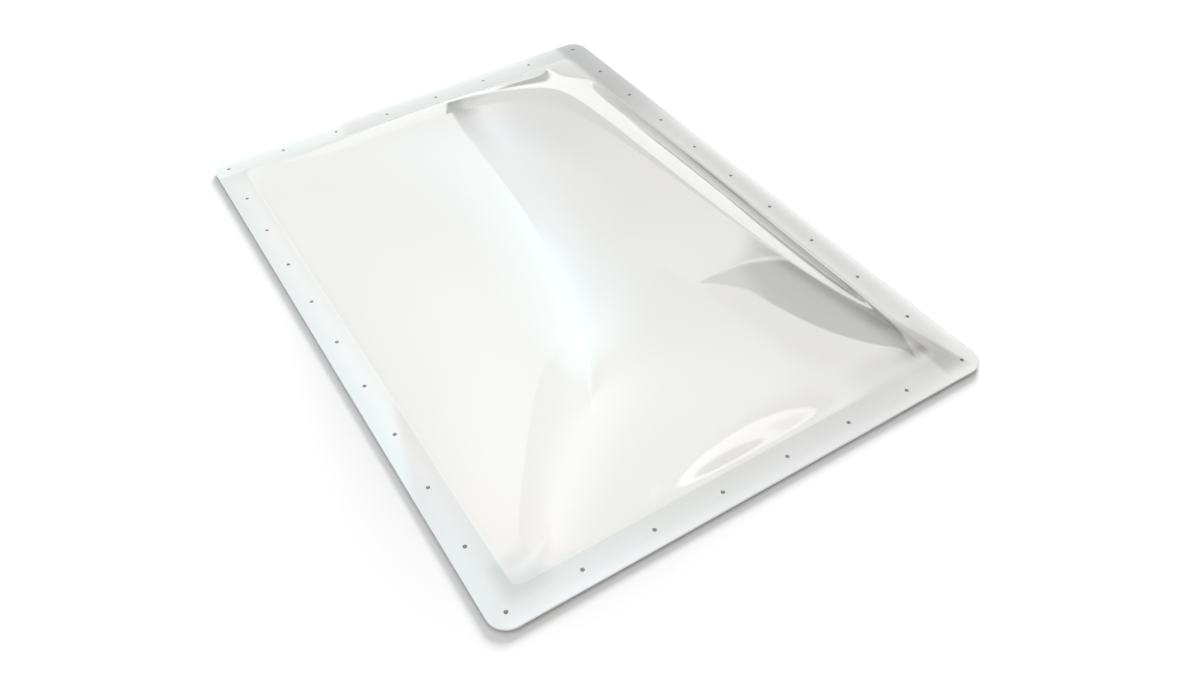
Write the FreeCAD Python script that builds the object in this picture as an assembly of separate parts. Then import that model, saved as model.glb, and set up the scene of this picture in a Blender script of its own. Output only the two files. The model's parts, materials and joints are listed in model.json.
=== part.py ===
import FreeCAD, Part
import math
import os

# Fixed roof skylight for a caravan or camper, in millimetres.
# The panel is one thermoformed sheet: a blown dome whose foot runs straight into a flat flange.
# A foam seal in four lengths lies under the flange and rests on the roof.
# Frame: origin at the centre of the seal's underside, +X along the long side, +Z up.

# Driving dimensions of the sheet and its flange
sheet_thickness = 3.2
hole_pitch_long = 92.3
hole_pitch_short = 88.9
holes_per_long_side = 11
holes_per_short_side = 8
hole_radius = 2.4
edge_to_hole = 21.0
hole_to_foot = 20.0
flange_corner_radius = 25.0
edge_round = 0.6

# Driving dimensions of the dome
dome_rise = 124.0
foot_blend = 2.0

# Driving dimensions of the seal
seal_thickness = 3.2
seal_width = 25.0

# How finely the blown shape is worked out
series_terms = 40
stations_along = 60
stations_across = 52
station_crowding = 2.6
sewing_tolerance = 0.005

# Lengths that follow from the driving dimensions
hole_span_x = hole_pitch_long * (holes_per_long_side - 1)
hole_span_y = hole_pitch_short * (holes_per_short_side - 1)
flange_length = hole_span_x + 2 * edge_to_hole
flange_width = hole_span_y + 2 * edge_to_hole
foot_x = hole_span_x / 2 - hole_to_foot
foot_y = hole_span_y / 2 - hole_to_foot
flange_bottom = seal_thickness
flange_top = flange_bottom + sheet_thickness
seal_setback = edge_to_hole - seal_width / 2
seal_corner_radius = flange_corner_radius - seal_setback


def membrane(x, y):
    """Deflection and its slopes in x and y of a sheet held on the foot's rectangle under even pressure."""
    if abs(x) >= foot_x or abs(y) >= foot_y:
        return 0.0, 0.0, 0.0
    deflection = (foot_y ** 2 - y ** 2) / 2
    slope_x = 0.0
    slope_y = -y
    for n in range(series_terms):
        k = (2 * n + 1) * math.pi / (2 * foot_y)
        scale = (2 / foot_y) * (-1) ** n
        rise = math.exp(k * (abs(x) - foot_x))
        whole = 1 + math.exp(-2 * k * foot_x)
        even = rise * (1 + math.exp(-2 * k * abs(x))) / whole
        odd = math.copysign(rise * (1 - math.exp(-2 * k * abs(x))) / whole, x)
        deflection -= scale * math.cos(k * y) * even / k ** 3
        slope_x -= scale * math.cos(k * y) * odd / k ** 2
        slope_y += scale * math.sin(k * y) * even / k ** 2
    return deflection, slope_x, slope_y


def dome_point(x, y, depth):
    """Point that lies depth below the dome's outer skin, square to the skin, over flange place x, y."""
    full_rise = math.sqrt((dome_rise + foot_blend) ** 2 - foot_blend ** 2)
    gain = full_rise / membrane(0, 0)[0]
    deflection, slope_x, slope_y = membrane(x, y)
    lift = deflection * gain
    blended = math.sqrt(lift ** 2 + foot_blend ** 2)
    height = blended - foot_blend
    slope_x *= gain * lift / blended
    slope_y *= gain * lift / blended
    steepness = math.sqrt(1 + slope_x ** 2 + slope_y ** 2)
    return FreeCAD.Vector(
        x + depth * slope_x / steepness,
        y + depth * slope_y / steepness,
        flange_top + height - depth / steepness,
    )


def stations(half, count):
    """Places from -half to half, crowded towards both ends, where the foot turns up into the dome."""
    places = []
    for i in range(count + 1):
        s = 2 * i / count - 1
        places.append(half * math.tanh(station_crowding * s) / math.tanh(station_crowding))
    return places


def dome_skin(depth):
    """Smooth face through points of the dome at the given depth under its outer skin."""
    rows = [[dome_point(x, y, depth) for y in stations(foot_y, stations_across)]
            for x in stations(foot_x, stations_along)]
    surface = Part.BSplineSurface()
    surface.interpolate(rows)
    return surface.toShape()


def box(x_low, x_high, y_low, y_high, z_low, z_high):
    """Plain box between two corners."""
    corner = FreeCAD.Vector(x_low, y_low, z_low)
    return Part.makeBox(x_high - x_low, y_high - y_low, z_high - z_low, corner)


def rounded_plate(length, width, radius, bottom, thickness):
    """Flat plate centred on the origin, with rounded corners."""
    plate = box(-length / 2, length / 2, -width / 2, width / 2, bottom, bottom + thickness)
    uprights = [edge for edge in plate.Edges if edge.BoundBox.ZLength > thickness / 2]
    return plate.makeFillet(radius, uprights)


def hole_places():
    """Centres of the screw holes round the flange, the corner holes counted once."""
    places = []
    for i in range(holes_per_long_side):
        x = i * hole_pitch_long - hole_span_x / 2
        places += [(x, -hole_span_y / 2), (x, hole_span_y / 2)]
    for j in range(1, holes_per_short_side - 1):
        y = j * hole_pitch_short - hole_span_y / 2
        places += [(-hole_span_x / 2, y), (hole_span_x / 2, y)]
    return places


def hole_drills():
    """Cylinders that drill the screw holes through flange and seal."""
    overrun = sheet_thickness
    height = flange_top + 2 * overrun
    return Part.makeCompound([
        Part.makeCylinder(hole_radius, height, FreeCAD.Vector(x, y, -overrun))
        for x, y in hole_places()
    ])


def dome_panel():
    """Thermoformed panel: drilled flange and hollow dome in one closed solid."""
    plate = rounded_plate(flange_length, flange_width, flange_corner_radius, flange_bottom, sheet_thickness)
    rims = [edge for edge in plate.Edges if edge.BoundBox.ZLength < sheet_thickness / 2]
    plate = plate.makeFillet(edge_round, rims)
    plate = plate.cut(box(-foot_x, foot_x, -foot_y, foot_y, 0, flange_top + sheet_thickness))
    plate = plate.cut(hole_drills())
    faces = [face for face in plate.Faces if not on_foot_wall(face)]
    faces += [dome_skin(0), dome_skin(sheet_thickness)]
    shell = Part.makeCompound(faces)
    shell.sewShape(sewing_tolerance)
    solid = Part.makeSolid(shell.Shells[0])
    if solid.Volume < 0:
        solid.reverse()
    return solid


def on_foot_wall(face):
    """True for the four upright faces that the foot's rectangle leaves in the plate."""
    bounds = face.BoundBox
    flat_x = bounds.XLength < sewing_tolerance and abs(abs(bounds.XMin) - foot_x) < sewing_tolerance
    flat_y = bounds.YLength < sewing_tolerance and abs(abs(bounds.YMin) - foot_y) < sewing_tolerance
    return flat_x or flat_y


def seal_ring():
    """Foam seal as one punched ring, before it is divided into lengths."""
    length = flange_length - 2 * seal_setback
    width = flange_width - 2 * seal_setback
    ring = rounded_plate(length, width, seal_corner_radius, 0, seal_thickness)
    inner_x = length / 2 - seal_width
    inner_y = width / 2 - seal_width
    ring = ring.cut(box(-inner_x, inner_x, -inner_y, inner_y, -seal_thickness, 2 * seal_thickness))
    return ring.cut(hole_drills()), inner_y


def seal_strips():
    """Four lengths of the seal: the long ones run past the corners and the short ones butt between them."""
    ring, inner_y = seal_ring()
    far = flange_length
    low = -seal_thickness
    high = 2 * seal_thickness
    return {
        "seal_front": ring.common(box(-far, far, -far, -inner_y, low, high)),
        "seal_back": ring.common(box(-far, far, inner_y, far, low, high)),
        "seal_left": ring.common(box(-far, 0, -inner_y, inner_y, low, high)),
        "seal_right": ring.common(box(0, far, -inner_y, inner_y, low, high)),
    }


def main():
    os.makedirs("parts", exist_ok=True)
    nodes = {"dome_panel": dome_panel()}
    nodes.update(seal_strips())
    for name, shape in nodes.items():
        solid = shape.Solids[0]
        solid.exportStep(os.path.join("parts", name + ".step"))
        size = solid.optimalBoundingBox()
        print(name, "valid", solid.isValid(), "solids", len(shape.Solids), "volume", round(solid.Volume, 1),
              "size", round(size.XLength, 2), round(size.YLength, 2), round(size.ZLength, 2))


main()
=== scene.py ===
import bpy
import bmesh
import json
import math
import numpy as np
from mathutils import Matrix, Vector


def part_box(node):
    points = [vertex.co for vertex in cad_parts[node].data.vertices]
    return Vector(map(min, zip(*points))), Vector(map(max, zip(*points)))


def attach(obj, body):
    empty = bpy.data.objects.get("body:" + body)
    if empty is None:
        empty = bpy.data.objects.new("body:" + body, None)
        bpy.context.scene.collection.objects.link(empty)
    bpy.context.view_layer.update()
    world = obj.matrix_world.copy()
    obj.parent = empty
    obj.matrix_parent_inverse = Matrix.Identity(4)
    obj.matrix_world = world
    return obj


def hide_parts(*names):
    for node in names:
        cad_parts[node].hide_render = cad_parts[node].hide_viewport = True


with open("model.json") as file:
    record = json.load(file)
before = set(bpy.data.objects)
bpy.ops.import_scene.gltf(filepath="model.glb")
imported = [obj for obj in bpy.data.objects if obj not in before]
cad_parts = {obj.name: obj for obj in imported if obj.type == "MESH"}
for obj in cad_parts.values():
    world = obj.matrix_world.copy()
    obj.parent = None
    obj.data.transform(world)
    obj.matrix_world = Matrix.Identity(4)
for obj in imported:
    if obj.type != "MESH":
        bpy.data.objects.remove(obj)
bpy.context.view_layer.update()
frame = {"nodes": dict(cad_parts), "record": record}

MM = 0.001

# Sizes of the panel, read from the frame
panel_low, panel_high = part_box("dome_panel")
screws = {mount["name"]: mount for mount in frame["record"]["mounts"]}["corner_screws"]
hole_span_x = screws["dims"]["spacing_x_mm"] * MM
hole_span_y = screws["dims"]["spacing_y_mm"] * MM
hole_radius = screws["dims"]["hole_r_mm"] * MM
flange_top = screws["pos_m"][2]
flange_bottom = panel_low[2]
dome_rise = panel_high[2] - flange_top
half_length = panel_high[0]
half_width = panel_high[1]

# Sizes of the panel that the frame doesn't name
holes_per_long_side = 11
holes_per_short_side = 8
hole_to_foot = 20 * MM
edge_to_hole = 21 * MM
flange_corner_radius = 25 * MM
edge_round = 0.6 * MM
hole_chamfer = 0.25 * MM
foot_blend = 2 * MM

sheet_thickness = flange_top - flange_bottom
foot_x = hole_span_x / 2 - hole_to_foot
foot_y = hole_span_y / 2 - hole_to_foot

# Fineness of the panel's mesh
series_terms = 40
stations_along = 250
stations_across = 190
station_crowding = 2.6
circle_sides = 32
corner_sides = 16
round_segments = 3

# How far the blank stands out past the flange's edge before it is cut
blank_overhang = 5 * MM

# Angles in degrees from which an edge is rounded, and from which it stays sharp in smooth shading
rounded_angle = 60
sharp_angle = 40

# Upward part of a face's normal from which the face counts as level
level_normal = 0.999999

# In the comments below, near and far are meant from the camera: the far long side is at +Y, the near long
# side at -Y, the far short side at -X and the near short side at +X

# Colour of the sheet on the way outwards, from 0 at glow_depth inside the foot to 1 at the flange's edge. It
# is painted light where light comes up through the dome, and painted shade on the flange, deepest beside the
# foot, with a thin painted dark line at the edge. That way turns the foot's corners in a curve, by
# glow_corner
glow_depth = 40 * MM
glow_corner = 20 * MM
painted_glow_and_shade_stops = [
    (0.00, (0.745, 0.745, 0.732)),
    (0.40, (0.745, 0.745, 0.730)),
    (0.47, (0.72, 0.72, 0.70)),
    (0.487, (0.71, 0.705, 0.68)),
    (0.497, (0.71, 0.705, 0.68)),
    (0.507, (0.60, 0.598, 0.57)),
    (0.62, (0.615, 0.612, 0.595)),
    (0.80, (0.65, 0.65, 0.645)),
    (0.88, (0.70, 0.70, 0.695)),
    (0.96, (0.74, 0.745, 0.75)),
    (0.98, (0.74, 0.745, 0.75)),
    (1.00, (0.66, 0.665, 0.67)),
]

# Painted shade of the sheet across the far long side's foot, from 0 at shade_depth inside it to 1 at the
# edge, with painted light on the flange beyond the foot
shade_depth = 60 * MM
shade_stops = [
    (0.00, 1.00),
    (0.17, 0.95),
    (0.26, 0.82),
    (0.34, 0.65),
    (0.44, 0.45),
    (0.53, 0.30),
    (0.57, 0.28),
    (0.60, 0.90),
    (0.65, 1.16),
    (0.71, 1.04),
    (0.76, 0.97),
    (0.82, 0.95),
    (0.90, 0.98),
    (0.96, 1.10),
    (1.00, 1.20),
]

# The tables below give areas of the sheet by their edges. An edge is a weight of x, of y and of the way
# outside the foot, and the two sums of these, in metres, at which the area is clear and full

# Where the far long side has that painted shade, and where the painted shade is weaker by the share given
shade_edges = [(1, 0, 0, -0.36, 0.0), (1, 0, 0, 0.436, 0.418)]
weaker_shade = [(-0.45, [(1, 0, 0, 0.28, 0.33), (1, 0, 0, 0.425, 0.405)])]

# Patches of painted shade on the sheet, with a share below 0, and of painted light, with a share above 0
painted_light_and_shade_patches = [
    # Flange at the far corner of the far long side
    (-0.38, [(1, 0, 0, -0.12, -0.34), (0, 1, 0, foot_y - 0.012, foot_y + 0.006)]),
    # Near corner of that side, as far as its holes
    (-0.18, [(1, 0, 0, 0.36, 0.44), (1, 0, 0, 0.475, 0.445),
             (0, 1, 0, foot_y - 0.06, foot_y + 0.01), (0, 1, 0, foot_y + 0.024, foot_y + 0.012)]),
    # Narrow wedge along the foot at that corner
    (-0.29, [(1, 0, 0, 0.345, 0.38), (1, 0, 0, 0.478, 0.458),
             (0, 1, 0, foot_y - 0.015, foot_y - 0.006), (-0.2, 1, 0, foot_y - 0.067, foot_y - 0.073)]),
    # Dome above the foot of the near short side, towards the far long side
    (-0.18, [(1, 0, 0, 0.395, 0.425), (1, 0, 0, 0.4425, 0.4405),
             (0, 1, 0, 0.14, 0.20), (0, 1, 0, foot_y, foot_y - 0.02)]),
    # Narrow slanting streak of painted shade on the dome, near that corner
    (-0.22, [(-0.4, 1, 0, foot_y - 0.201, foot_y - 0.171), (-0.4, 1, 0, foot_y - 0.1585, foot_y - 0.164),
             (1, 0, 0, 0.20, 0.235), (1, 0, 0, 0.395, 0.36)]),
    # Short streak of painted shade along the far long side's foot, and the streak of painted light that
    # follows it
    (-0.28, [(1, 0, 0, -0.10, -0.04), (1, 0, 0, 0.09, 0.05),
             (0, 1, 0, foot_y - 0.012, foot_y - 0.008), (0, 1, 0, foot_y + 0.003, foot_y)]),
    (0.32, [(1, 0, 0, 0.09, 0.14), (1, 0, 0, 0.29, 0.25),
            (0, 1, 0, foot_y - 0.012, foot_y - 0.006), (0, 1, 0, foot_y + 0.002, foot_y - 0.001)]),
    # Near corner of the near long side
    (-0.19, [(1, 0, 0, 0.392, 0.418), (0, 1, 0, -0.24, -0.264), (0, 0, 1, 0.022, 0.004)]),
    # Rim of the near long side
    (-0.12, [(0, 1, 0, -foot_y - 0.022, -foot_y - 0.038)]),
    # Flange of the far short side
    (0.14, [(1, 0, 0, -foot_x, -foot_x - 0.003), (0, 1, 0, 0.27, 0.20)]),
    # Flange of the near short side, towards the far long side and towards the near one
    (-0.07, [(1, 0, 0, foot_x - 0.002, foot_x + 0.001),
             (0, 1, 0, foot_y, foot_y - 0.03), (0, 1, 0, 0.04, 0.20)]),
    (0.06, [(1, 0, 0, foot_x - 0.002, foot_x + 0.001), (0, 1, 0, foot_y, foot_y - 0.03),
            (0, 1, 0, 0.02, -0.20), (0, 1, 0, -0.29, -0.26)]),
]

# Patches where painted light and shade multiply the sheet's colour by a tint
painted_light_and_shade_tints = [
    # Painted light on the flange of the near long side between the foot and the holes
    ((1.13, 1.08, 1.09), [(1, 0, 0, 0.43, 0.20), (1, 0, 0, -0.44, -0.40),
                          (0, 1, 0, -foot_y + 0.001, -foot_y - 0.002),
                          (0, 1, 0, -foot_y - 0.036, -foot_y - 0.012)]),
    # Painted shade on the near corner of that side, and on a spot on the dome there
    ((1.0, 0.965, 0.95), [(1, 0, 0, 0.22, 0.42), (0, 1, 0, -0.20, -0.28)]),
    ((0.99, 0.935, 0.935), [(1, 0, 0, 0.40, 0.416), (1, 0, 0, 0.438, 0.43),
                            (0, 1, 0, -0.236, -0.256), (0, 1, 0, -0.291, -0.285)]),
]

# Finish of the sheet: clouding of its colour, haze in its gloss and the ripple that drawing leaves
cloud_scale = 5.0
cloud_detail = 3.0
cloud_roughness = 0.55
cloud_stops = [(0.35, (0.98, 0.985, 0.985)), (0.65, (1.0, 1.0, 0.99))]
haze_scale = 40.0
haze_detail = 2.0
gloss_roughness = (0.02, 0.045)
ripple_scale = 4.0
ripple_detail = 1.0
ripple_strength = 0.05
ripple_height = 1 * MM
sheet_ior = 2.0
sheet_specular = 1.0

# Finish of the foam
pores_per_metre = 900.0
foam_stops = [(0.0, (0.77, 0.77, 0.75)), (1.0, (0.84, 0.84, 0.82))]
pore_strength = 0.4
pore_depth = 0.3 * MM
foam_roughness = 0.9

# Camera at the photograph's viewing angle
camera_place = Vector((0.9880, -0.4764, 0.9087))
camera_forward = Vector((-0.6214, 0.3445, -0.7036))
camera_down = Vector((0.5826, -0.3973, -0.7090))
lens_px = 1024.6
image_width_px = 1200
sensor_mm = 36

# Soft key lamp, with its place and width in degrees
key_azimuth = 135
key_elevation = 19
key_spread = 26
key_strength = 7.9

# Square floor, with half its side in metres
floor_reach = 6
floor_colour = (0.57, 0.57, 0.57)

# The sheet mirrors a pale table in the floor's place, with another colour past a slanting line and a darker
# one past its end
table_colour = (0.58, 0.58, 0.57)
table_colour_past_line = (0.67, 0.67, 0.66)
colour_past_table = (0.335, 0.335, 0.33)

# Places of that line, of the end, of a step in the end, and of the side up to which the end shows. Here an
# edge is a weight of x, of y and of the way past flare_start along x, and the two sums of these in metres
flare_start = -0.02
table_line = (0.29, 1, 0, -0.077, -0.069)
table_end = -0.66
table_step = [(1, 0, 0, -0.585, -0.61), (0, 1, 0, 0.28, 0.22)]
table_side = [(0.34, 1, 0, -0.062, -0.042)]

# Painted shadows in the mirrored table, with their depth: at its end, off the far corner of the panel's far
# long side, and along that side
painted_table_shadows = [
    (1.00, [(0.34, 1, 0, 0.0, -0.10), (1, 0, 0, -0.52, -0.59), table_line]),
    (0.85, [(1, 0, 0, -0.585, -0.555), (0, 1, 0, 0.17, 0.225), (0, 1, 0, 0.335, 0.30)]),
    (0.80, [(0, 1, -0.33, 0.367, 0.355), (1, 0, 0, -0.31, -0.20), (0, 1, 0, 0.29, 0.31)]),
]

# Background that the camera sees, and light of the room
background = (0.98, 0.98, 0.98)
room_light = (0.939, 0.902, 0.902)

# Softboxes that add their light to the room's, and flags that then take away the share given. Here an edge is
# a weight of azimuth and of elevation, and the two sums of these, in degrees, at which it is clear and full
softboxes = [
    ((0.42, 0.42, 0.42), [(0, 1, 63.4, 99.5)]),
    ((0.77, 1.20, 1.25), [(1, -0.1, 162.7, 163.6), (1, 0, 207.4, 134.5), (0, 1, -12.3, 52.3),
                          (0, 1, 58, 46)]),
    ((0.77, 1.20, 1.25), [(1, -0.1, 151, 171), (1, 0, 207.4, 134.5), (0, 1, 46, 58)]),
    ((0.493, 0.816, 0.864), [(1, 0, 80.7, 145.8), (1, 0, 218.8, 196.9), (0, 1, 31.8, 107.8),
                             (0, 1, 87.2, 77.4)]),
    ((0.46, 0.50, 0.49), [(1, 0, 145.3, 305.3), (1, 0, 350, 290), (0, 1, 11.8, 59.1),
                          (0.25, 1, 123.5, 123.1)]),
    ((0.04, 0.15, 0.20), [(1, 0, 142.8, 158.2), (1, -0.1, 165.2, 159.3), (0, 1, 1.8, 17.2)]),
    ((0.365, 0.39, 0.35), [(1, 0, 127.8, 45.8), (0, 1, 44.9, 50.5)]),
    ((0.156, 0.161, 0.13), [(1, 0, 107.5, 110.2), (1, 0, 134.8, 118.3), (0, 1, 49.0, 47.4)]),
    ((0.158, 0.18, 0.184), [(1, 0, 283.7, 281.7), (1, 0, 187.2, 222.9), (0, 1, 91.4, 84.8)]),
    ((0.158, 0.18, 0.184), [(1, 0, 281.7, 283.7), (0, 1, 53, 60), (0, 1, 91.4, 84.8)]),
    ((0.207, 0.21, 0.166), [(1, 0, 226, 275), (0, 1, 56, 63)]),
    ((0.78, 0.78, 0.76), [(1, 0, 52, 48), (0.22, 1, 56.9, 56.1)]),
    ((0.78, 0.78, 0.76), [(1, 0, 30, 28.8), (0, 1, 55, 53.5), (0.22, 1, 56.1, 56.9)]),
]
flags = [
    (0.99, [(1, 0, 158.4, 162.9), (1, -0.1, 163.1, 162.5), (0, 1, 34.7, -11.5)]),
    (0.80, [(1, 0, 158.4, 161.5), (1, -0.1, 163.1, 162.5), (0, 1, 8, -1)]),
    (0.99, [(1, 0, 11, 31), (1, 0.204, 120.3, 119.6), (1, 0.917, 142.0, 135.0), (0, 1, 36.2, 34.6),
            (0, 1, -0.3, 1.2)]),
    (0.62, [(1, -0.28, 96.8, 98.2), (1, 0.204, 120.3, 119.6), (0, 1, -0.3, 1.2)]),
    (0.62, [(1, 0.204, 120.2, 120.6), (1, 0.31, 124.3, 122.0), (0, 1, -0.3, 1.2)]),
    (0.23, [(1, 0, 132.1, 147.9), (1, 0, 158.0, 152.5), (0, 1, 29.8, 12.6)]),
    (0.24, [(1, 0, 284, 310), (0, 1, 50, 38)]),
    (0.42, [(0.5625, 1, 65.9, 65.4), (-1.3, 1, 6.9, 5.9), (-1.4545, 1, -11.7, -11.1)]),
    (0.20, [(0.5625, 1, 65.9, 65.4), (-1.4545, 1, -10.0, -10.4), (-1.4545, 1, -11.7, -11.1)]),
    (0.25, [(1, 0, 39.5, 41), (-0.09, 1, 41.7, 41.1), (-0.36, 1, 27.8, 28.4)]),
]


def membrane(x, y):
    """Deflection and its slopes in x and y of a sheet held on the foot's rectangle under even pressure."""
    inside = (np.abs(x) < foot_x) & (np.abs(y) < foot_y)
    deflection = (foot_y ** 2 - y ** 2) / 2
    slope_x = np.zeros_like(x)
    slope_y = -y
    for n in range(series_terms):
        k = (2 * n + 1) * math.pi / (2 * foot_y)
        scale = (2 / foot_y) * (-1) ** n
        reach = np.exp(k * (np.abs(x) - foot_x)) / (1 + math.exp(-2 * k * foot_x))
        mirror = np.exp(-2 * k * np.abs(x))
        even = reach * (1 + mirror)
        odd = np.sign(x) * reach * (1 - mirror)
        deflection = deflection - scale * np.cos(k * y) * even / k ** 3
        slope_x = slope_x - scale * np.cos(k * y) * odd / k ** 2
        slope_y = slope_y + scale * np.sin(k * y) * even / k ** 2
    return deflection * inside, slope_x * inside, slope_y * inside


def skin_points(x, y, depth):
    """Points that lie depth below the outer skin, square to it, over the flange places x, y."""
    full_rise = math.sqrt((dome_rise + foot_blend) ** 2 - foot_blend ** 2)
    gain = full_rise / membrane(np.zeros(1), np.zeros(1))[0][0]
    deflection, slope_x, slope_y = membrane(x, y)
    lift = deflection * gain
    blended = np.sqrt(lift ** 2 + foot_blend ** 2)
    slope_x = slope_x * gain * lift / blended
    slope_y = slope_y * gain * lift / blended
    steepness = np.sqrt(1 + slope_x ** 2 + slope_y ** 2)
    height = flange_top + blended - foot_blend - depth / steepness
    return np.stack([x + depth * slope_x / steepness, y + depth * slope_y / steepness, height], axis=-1)


def stations(foot, edge, count):
    """Places from edge to edge, crowded beside the foot, where the sheet turns up into the dome."""
    spread = np.tanh(station_crowding * np.linspace(-1, 1, count + 1)) / math.tanh(station_crowding)
    return np.concatenate([[-edge], foot * spread, [edge]])


def link_object(name, data):
    """New object in the scene, with data that is there already."""
    obj = bpy.data.objects.new(name, data)
    bpy.context.scene.collection.objects.link(obj)
    return obj


def mesh_object(name, vertices, faces):
    """New object in the scene, with a mesh from vertices and faces."""
    mesh = bpy.data.meshes.new(name)
    mesh.from_pydata(vertices, [], faces)
    mesh.validate()
    return link_object(name, mesh)


def panel_blank():
    """Closed sheet with the dome in it, still square at the corners and without its holes."""
    xs = stations(foot_x, half_length + blank_overhang, stations_along)
    ys = stations(foot_y, half_width + blank_overhang, stations_across)
    x, y = np.meshgrid(xs, ys, indexing="ij")
    columns, rows = x.shape
    top = skin_points(x, y, 0).reshape(-1, 3)
    under = skin_points(x, y, sheet_thickness).reshape(-1, 3)
    index = np.arange(columns * rows).reshape(columns, rows)
    quads = np.stack([index[:-1, :-1], index[1:, :-1], index[1:, 1:], index[:-1, 1:]], axis=-1).reshape(-1, 4)
    rim = np.concatenate([index[:-1, 0], index[-1, :-1], index[:0:-1, -1], index[0, :0:-1]])
    count = columns * rows
    sides = [(int(a) + count, int(b) + count, int(b), int(a)) for a, b in zip(rim, np.roll(rim, -1))]
    faces = quads.tolist() + (quads[:, ::-1] + count).tolist() + sides
    return mesh_object("dome_panel_skin", np.concatenate([top, under]).tolist(), faces)


def stack(name, rings):
    """Closed body through outlines of equal count, from the lowest to the highest, each with its height."""
    count = len(rings[0][0])
    vertices = [(x, y, height) for outline, height in rings for x, y in outline]
    last = len(vertices) - count
    faces = [tuple(range(count))[::-1], tuple(range(last, last + count))]
    for start in range(0, last, count):
        faces += [(start + i, start + (i + 1) % count, start + (i + 1) % count + count, start + i + count)
                  for i in range(count)]
    return mesh_object(name, vertices, faces)


def rounded_outline():
    """Outline of the flange."""
    points = []
    for quarter, (sx, sy) in enumerate(((1, 1), (-1, 1), (-1, -1), (1, -1))):
        centre_x = sx * (half_length - flange_corner_radius)
        centre_y = sy * (half_width - flange_corner_radius)
        for i in range(corner_sides + 1):
            angle = (quarter + i / corner_sides) * math.pi / 2
            points.append((centre_x + flange_corner_radius * math.cos(angle),
                           centre_y + flange_corner_radius * math.sin(angle)))
    return points


def hole_places():
    """Centres of the screw holes, the corner holes counted once."""
    places = []
    for i in range(holes_per_long_side):
        x = (i / (holes_per_long_side - 1) - 0.5) * hole_span_x
        places += [(x, -hole_span_y / 2), (x, hole_span_y / 2)]
    for j in range(1, holes_per_short_side - 1):
        y = (j / (holes_per_short_side - 1) - 0.5) * hole_span_y
        places += [(-hole_span_x / 2, y), (hole_span_x / 2, y)]
    return places


def circle(x, y, radius):
    """Points round the centre x, y."""
    return [(x + radius * math.cos(a), y + radius * math.sin(a))
            for a in np.linspace(0, 2 * math.pi, circle_sides, endpoint=False)]


def drills():
    """All the drills for the screw holes in one mesh, each flared where it breaks the edges of its hole."""
    joined = bmesh.new()
    for x, y in hole_places():
        wide = circle(x, y, hole_radius + hole_chamfer)
        narrow = circle(x, y, hole_radius)
        drill = stack("drill", [(wide, flange_bottom - sheet_thickness), (wide, flange_bottom),
                                (narrow, flange_bottom + hole_chamfer), (narrow, flange_top - hole_chamfer),
                                (wide, flange_top), (wide, flange_top + sheet_thickness)])
        joined.from_mesh(drill.data)
        bpy.data.objects.remove(drill)
    mesh = bpy.data.meshes.new("drills")
    joined.to_mesh(mesh)
    joined.free()
    return link_object("drills", mesh)


def cut(obj, tool, operation):
    """Replaces the object's mesh by its boolean with the tool, and takes the tool away."""
    modifier = obj.modifiers.new(operation, "BOOLEAN")
    modifier.operation = operation
    modifier.solver = "EXACT"
    modifier.object = tool
    depsgraph = bpy.context.evaluated_depsgraph_get()
    mesh = bpy.data.meshes.new_from_object(obj.evaluated_get(depsgraph))
    obj.modifiers.clear()
    obj.data = mesh
    bpy.data.objects.remove(tool)


def round_rim(obj):
    """Rounds the sheet's outer edges."""
    work = bmesh.new()
    work.from_mesh(obj.data)
    outer = [edge for edge in work.edges if len(edge.link_faces) == 2
             and edge.calc_face_angle(0) > math.radians(rounded_angle)
             and abs(edge.verts[0].co.z - edge.verts[1].co.z) < edge_round]
    bmesh.ops.bevel(work, geom=outer, offset=edge_round, segments=round_segments, profile=0.5,
                    affect="EDGES", clamp_overlap=True)
    work.to_mesh(obj.data)
    work.free()


def smooth(obj):
    """Smooth shading that keeps sharp edges, and leaves the flange's level faces flat."""
    obj.data.set_sharp_from_angle(angle=math.radians(sharp_angle))
    curved = [abs(face.normal.z) < level_normal for face in obj.data.polygons]
    obj.data.polygons.foreach_set("use_smooth", curved)


def build_panel():
    """The dome and its flange in one sheet, drilled and rounded."""
    panel = panel_blank()
    outline = rounded_outline()
    trim = stack("outline", [(outline, flange_bottom - sheet_thickness),
                             (outline, flange_top + 2 * dome_rise)])
    cut(panel, trim, "INTERSECT")
    round_rim(panel)
    cut(panel, drills(), "DIFFERENCE")
    smooth(panel)
    return panel


def shader(name):
    """Material with its node tree and its Principled shader."""
    material = bpy.data.materials.new(name)
    material.use_nodes = True
    tree = material.node_tree
    return material, tree, tree.nodes["Principled BSDF"]


def feed(tree, socket, value):
    """Links a node's output to the socket, or sets the socket to a plain value."""
    if isinstance(value, bpy.types.NodeSocket):
        tree.links.new(value, socket)
    else:
        socket.default_value = value


def node(tree, kind, inputs=None, **settings):
    """New node with its settings, and with its inputs by name or number."""
    made = tree.nodes.new(kind)
    for key, value in settings.items():
        setattr(made, key, value)
    for key, value in (inputs or {}).items():
        feed(tree, made.inputs[key], value)
    return made


def calculate(tree, operation, *values):
    """Result of a Math node on sockets or plain numbers."""
    return node(tree, "ShaderNodeMath", dict(enumerate(values)), operation=operation).outputs[0]


def multiply(tree, first, second):
    """Product of two colours."""
    return node(tree, "ShaderNodeVectorMath", {0: first, 1: second}, operation="MULTIPLY").outputs["Vector"]


def scaled(tree, colour, amount):
    """Colour times a number."""
    made = node(tree, "ShaderNodeVectorMath", {"Vector": colour, "Scale": amount}, operation="SCALE")
    return made.outputs["Vector"]


def blend(tree, factor, first, second):
    """Colour that goes from the first to the second with the factor."""
    ends = [end if isinstance(end, bpy.types.NodeSocket) else (*end, 1) for end in (first, second)]
    made = node(tree, "ShaderNodeMix", {"Factor": factor, "A": ends[0], "B": ends[1]}, data_type="RGBA")
    return made.outputs["Result"]


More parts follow.
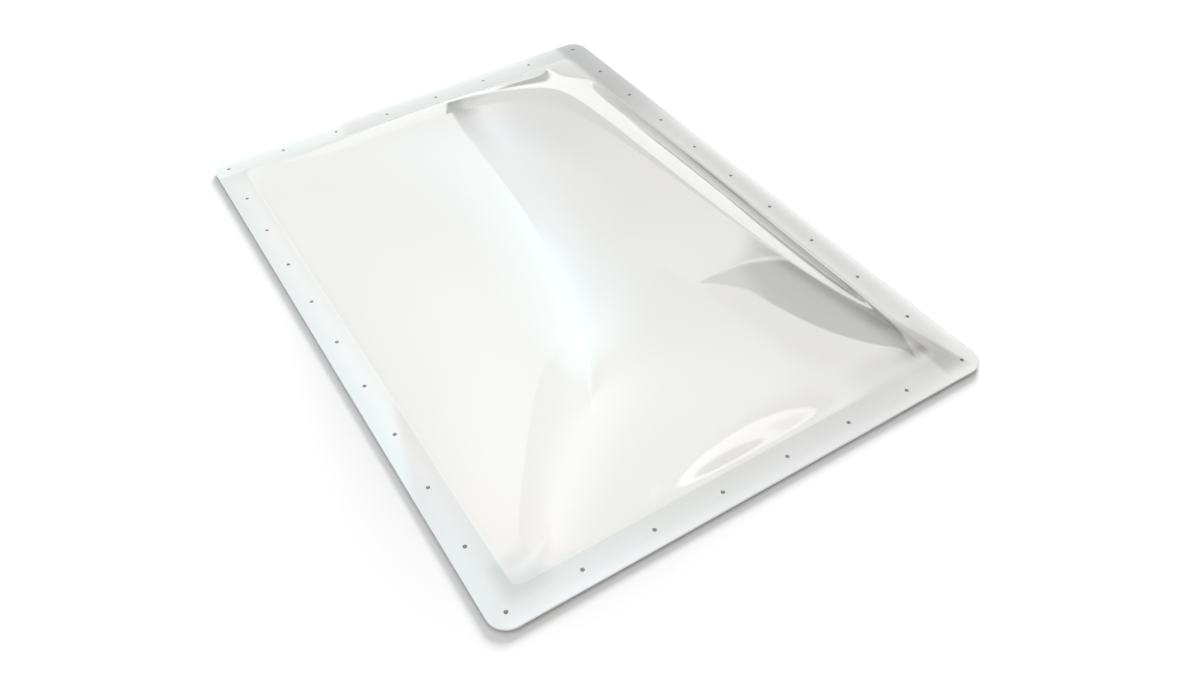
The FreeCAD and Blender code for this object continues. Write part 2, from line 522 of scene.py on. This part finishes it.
def ramp(tree, value, stops):
    """Colour ramp over a value, from stops of place and colour."""
    made = node(tree, "ShaderNodeValToRGB", {"Fac": value})
    elements = made.color_ramp.elements
    while len(elements) < len(stops):
        elements.new(0.5)
    for element, (place, colour) in zip(elements, stops):
        element.position = place
        element.color = (*colour, 1)
    return made.outputs["Color"]


def between(tree, value, clear, full):
    """Smooth change from 0 where the value is at clear to 1 where it is at full."""
    rising = clear < full
    made = node(tree, "ShaderNodeMapRange", {"Value": value, "From Min": min(clear, full),
                                             "From Max": max(clear, full), "To Min": 0 if rising else 1,
                                             "To Max": 1 if rising else 0}, interpolation_type="SMOOTHSTEP")
    return made.outputs["Result"]


def area(tree, coordinates, edges):
    """Mask of an area, 1 inside all its edges. An edge has a weight for each coordinate and two limits, and
    the mask goes from 0 where the weighted sum is at the first to 1 where it is at the second."""
    mask = 1
    for *weights, clear, full in edges:
        total = 0
        for coordinate, weight in zip(coordinates, weights):
            total = calculate(tree, "ADD", total, calculate(tree, "MULTIPLY", coordinate, weight))
        mask = calculate(tree, "MULTIPLY", mask, between(tree, total, clear, full))
    return mask


def patched(tree, coordinates, patches):
    """1 all over, plus in each patch the share given for it."""
    total = 1
    for share, edges in patches:
        total = calculate(tree, "MULTIPLY_ADD", area(tree, coordinates, edges), share, total)
    return total


def outside_foot(tree, x, y):
    """How far a place lies outside the dome's foot, in metres, less than 0 inside it."""
    past_x = calculate(tree, "SUBTRACT", calculate(tree, "ABSOLUTE", x), foot_x)
    past_y = calculate(tree, "SUBTRACT", calculate(tree, "ABSOLUTE", y), foot_y)
    return calculate(tree, "SMOOTH_MAX", past_x, past_y, glow_corner)


def across_foot(tree, outside, depth):
    """Goes from 0 at the depth inside the foot to 1 at the flange's edge."""
    made = node(tree, "ShaderNodeMapRange", {"Value": outside, "From Min": -depth,
                                             "From Max": hole_to_foot + edge_to_hole})
    return made.outputs["Result"]


def sheet_colour(tree, place):
    """Colour of the sheet, with painted light where light comes up through the dome and painted shade on the
    flange, most of all beside the foot. It is faintly clouded, and has patches of painted shade and painted
    light, some of them tinted."""
    x, y, _ = node(tree, "ShaderNodeSeparateXYZ", {"Vector": place}).outputs
    outside = outside_foot(tree, x, y)
    coordinates = (x, y, outside)
    # Painted glow and painted shade across the foot
    colour = ramp(tree, across_foot(tree, outside, glow_depth), painted_glow_and_shade_stops)
    cloud = node(tree, "ShaderNodeTexNoise", {"Vector": place, "Scale": cloud_scale, "Detail": cloud_detail,
                                              "Roughness": cloud_roughness})
    colour = multiply(tree, colour, ramp(tree, cloud.outputs["Fac"], cloud_stops))
    # Tinted patches of painted light and painted shade
    for painted_tint, edges in painted_light_and_shade_tints:
        colour = multiply(tree, colour, blend(tree, area(tree, coordinates, edges), (1, 1, 1), painted_tint))
    # Painted shade across the far long side's foot, with painted light on the flange beyond it
    past_far_foot = calculate(tree, "SUBTRACT", y, foot_y)
    greys = [(at, (light, light, light)) for at, light in shade_stops]
    strip = ramp(tree, across_foot(tree, past_far_foot, shade_depth), greys)
    share = calculate(tree, "MULTIPLY", area(tree, coordinates, shade_edges),
                      patched(tree, coordinates, weaker_shade))
    colour = multiply(tree, colour, blend(tree, share, (1, 1, 1), strip))
    # Patches of painted shade and painted light
    return scaled(tree, colour, patched(tree, coordinates, painted_light_and_shade_patches))


def dome_plastic():
    """Glossy milky sheet with fine haze in its gloss and a very slight draw ripple."""
    material, tree, principled = shader("milky thermoformed sheet")
    place = node(tree, "ShaderNodeTexCoord").outputs["Object"]
    feed(tree, principled.inputs["Base Color"], sheet_colour(tree, place))
    haze = node(tree, "ShaderNodeTexNoise", {"Vector": place, "Scale": haze_scale, "Detail": haze_detail})
    gloss = node(tree, "ShaderNodeMapRange", {"Value": haze.outputs["Fac"], "To Min": gloss_roughness[0],
                                              "To Max": gloss_roughness[1]})
    feed(tree, principled.inputs["Roughness"], gloss.outputs["Result"])
    ripple = node(tree, "ShaderNodeTexNoise", {"Vector": place, "Scale": ripple_scale,
                                               "Detail": ripple_detail})
    bump = node(tree, "ShaderNodeBump", {"Height": ripple.outputs["Fac"], "Strength": ripple_strength,
                                         "Distance": ripple_height})
    feed(tree, principled.inputs["Normal"], bump.outputs["Normal"])
    principled.inputs["IOR"].default_value = sheet_ior
    principled.inputs["Specular IOR Level"].default_value = sheet_specular
    return material


def seal_foam():
    """Matt closed-cell foam with fine pores."""
    material, tree, principled = shader("closed-cell foam")
    place = node(tree, "ShaderNodeTexCoord").outputs["Object"]
    pores = node(tree, "ShaderNodeTexVoronoi", {"Vector": place, "Scale": pores_per_metre})
    cells = pores.outputs["Distance"]
    feed(tree, principled.inputs["Base Color"], ramp(tree, cells, foam_stops))
    bump = node(tree, "ShaderNodeBump", {"Height": cells, "Strength": pore_strength, "Distance": pore_depth})
    feed(tree, principled.inputs["Normal"], bump.outputs["Normal"])
    principled.inputs["Roughness"].default_value = foam_roughness
    return material


def add_camera():
    """Camera with the place, the turn and the lens that were fitted to the photograph."""
    forward = camera_forward.normalized()
    up = -(camera_down - camera_down.dot(forward) * forward).normalized()
    right = forward.cross(up)
    camera = link_object("camera", bpy.data.cameras.new("camera"))
    camera.data.sensor_width = sensor_mm
    camera.data.lens = lens_px * sensor_mm / image_width_px
    turn = Matrix((right, up, -forward)).transposed().to_4x4()
    camera.matrix_world = Matrix.Translation(camera_place) @ turn
    bpy.context.scene.camera = camera


def add_key(receiver):
    """Soft low lamp on the far side, which gives the object its shadow towards the near edges."""
    light = bpy.data.lights.new("key", "SUN")
    light.energy = key_strength
    light.angle = math.radians(key_spread)
    lamp = link_object("key", light)
    azimuth = math.radians(key_azimuth)
    elevation = math.radians(key_elevation)
    level = math.cos(elevation)
    direction = Vector((level * math.cos(azimuth), level * math.sin(azimuth), math.sin(elevation)))
    lamp.location = direction
    lamp.rotation_mode = "QUATERNION"
    lamp.rotation_quaternion = (-direction).to_track_quat("-Z", "Y")
    lamp.visible_glossy = False
    lit = bpy.data.collections.new("lit by the key")
    lit.objects.link(receiver)
    lamp.light_linking.receiver_collection = lit


def table_mirrored(tree, place):
    """Colour of the table that the sheet mirrors, with its line, its end and its painted shadows."""
    x, y, _ = node(tree, "ShaderNodeSeparateXYZ", {"Vector": place}).outputs
    flare = calculate(tree, "MAXIMUM", calculate(tree, "SUBTRACT", x, flare_start), 0)
    coordinates = (x, y, flare)
    past = calculate(tree, "MAXIMUM", calculate(tree, "LESS_THAN", x, table_end),
                     area(tree, coordinates, table_step))
    past = calculate(tree, "MULTIPLY", past, area(tree, coordinates, table_side))
    painted_shadow = 0
    # Painted shadows in the mirrored table
    for depth, edges in painted_table_shadows:
        mask = area(tree, coordinates, edges)
        painted_shadow = calculate(tree, "MAXIMUM", painted_shadow, calculate(tree, "MULTIPLY", mask, depth))
    table = blend(tree, area(tree, coordinates, [table_line]), table_colour, table_colour_past_line)
    return blend(tree, painted_shadow, blend(tree, past, table, colour_past_table), (0, 0, 0))


def add_floor():
    """Pale floor, which the sheet mirrors as a table that ends."""
    corners = [(-floor_reach, -floor_reach, 0), (floor_reach, -floor_reach, 0),
               (floor_reach, floor_reach, 0), (-floor_reach, floor_reach, 0)]
    floor = mesh_object("floor", corners, [(0, 1, 2, 3)])
    material, tree, principled = shader("pale floor")
    place = node(tree, "ShaderNodeTexCoord").outputs["Object"]
    glossy = node(tree, "ShaderNodeLightPath").outputs["Is Glossy Ray"]
    colour = blend(tree, glossy, floor_colour, table_mirrored(tree, place))
    feed(tree, principled.inputs["Base Color"], colour)
    principled.inputs["Roughness"].default_value = 1.0
    principled.inputs["Specular IOR Level"].default_value = 0.0
    floor.data.materials.append(material)
    return floor


def studio_light(tree):
    """Light of the studio in each direction, from its azimuth (from +X towards +Y) and its elevation."""
    direction = node(tree, "ShaderNodeTexCoord").outputs["Generated"]
    x, y, z = node(tree, "ShaderNodeSeparateXYZ", {"Vector": direction}).outputs
    backwards = calculate(tree, "ARCTAN2", calculate(tree, "MULTIPLY", y, -1),
                          calculate(tree, "MULTIPLY", x, -1))
    azimuth = calculate(tree, "ADD", calculate(tree, "DEGREES", backwards), 180)
    elevation = calculate(tree, "DEGREES", calculate(tree, "ARCSINE", z))
    total = room_light
    for light, edges in softboxes:
        mask = area(tree, (azimuth, elevation), edges)
        added = node(tree, "ShaderNodeVectorMath", {0: mask, 1: light, 2: total}, operation="MULTIPLY_ADD")
        total = added.outputs["Vector"]
    for depth, edges in flags:
        mask = area(tree, (azimuth, elevation), edges)
        total = scaled(tree, total, calculate(tree, "MULTIPLY_ADD", mask, -depth, 1))
    return total


def add_world():
    """The studio round the object, behind a plain pale background for the camera."""
    world = bpy.data.worlds.new("studio")
    bpy.context.scene.world = world
    world.use_nodes = True
    tree = world.node_tree
    camera_ray = node(tree, "ShaderNodeLightPath").outputs["Is Camera Ray"]
    seen = blend(tree, camera_ray, studio_light(tree), background)
    feed(tree, tree.nodes["Background"].inputs["Color"], seen)


panel = build_panel()
panel.data.materials.append(dome_plastic())
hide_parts("dome_panel")
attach(panel, "root")

foam = seal_foam()
for name in ("seal_front", "seal_back", "seal_left", "seal_right"):
    obj = frame["nodes"][name]
    obj.data.materials.clear()
    obj.data.materials.append(foam)

add_camera()
add_key(add_floor())
add_world()

bpy.context.scene.view_settings.view_transform = "Standard"
